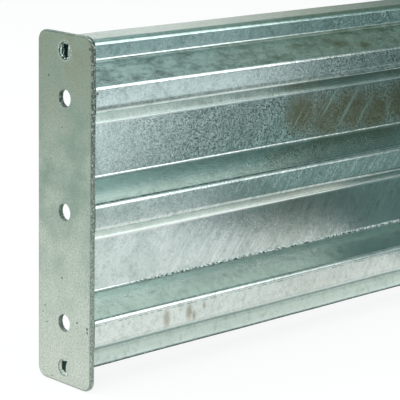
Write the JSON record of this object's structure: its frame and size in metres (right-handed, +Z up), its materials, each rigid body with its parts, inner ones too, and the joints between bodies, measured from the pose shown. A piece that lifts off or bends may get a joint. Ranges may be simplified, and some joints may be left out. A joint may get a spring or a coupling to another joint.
{
  "type": "galvanised corrugated guard rail section",
  "caption": "Hot-dip galvanised steel guard rail section: a roll-formed rail with wide flat ribs, welded between rounded end plates with bolt holes.",
  "frame": {"origin": "middle of the section's length and depth, at the bottom edges of the end plates", "axes": "+X along the rail to the right, +Y to the back, away from the ribs, +Z up"},
  "size_m": [1.219, 0.0874, 0.381],
  "materials": {
    "rail_sheet": "hot-dip galvanised, spangled",
    "end_plates": "hot-dip galvanised, matt",
    "welds": "hot-dip galvanised"
  },
  "bodies": {
    "root": {"rail_panel": "rail_sheet", "left_end_plate": "end_plates", "left_top_flange_weld": "welds", "left_top_rib_weld": "welds", "left_upper_valley_weld": "welds", "left_middle_rib_weld": "welds", "left_lower_valley_weld": "welds", "left_bottom_rib_weld": "welds", "left_bottom_flange_weld": "welds", "right_end_plate": "end_plates", "right_top_flange_weld": "welds", "right_top_rib_weld": "welds", "right_upper_valley_weld": "welds", "right_middle_rib_weld": "welds", "right_lower_valley_weld": "welds", "right_bottom_rib_weld": "welds", "right_bottom_flange_weld": "welds"}
  },
  "joints": []
}
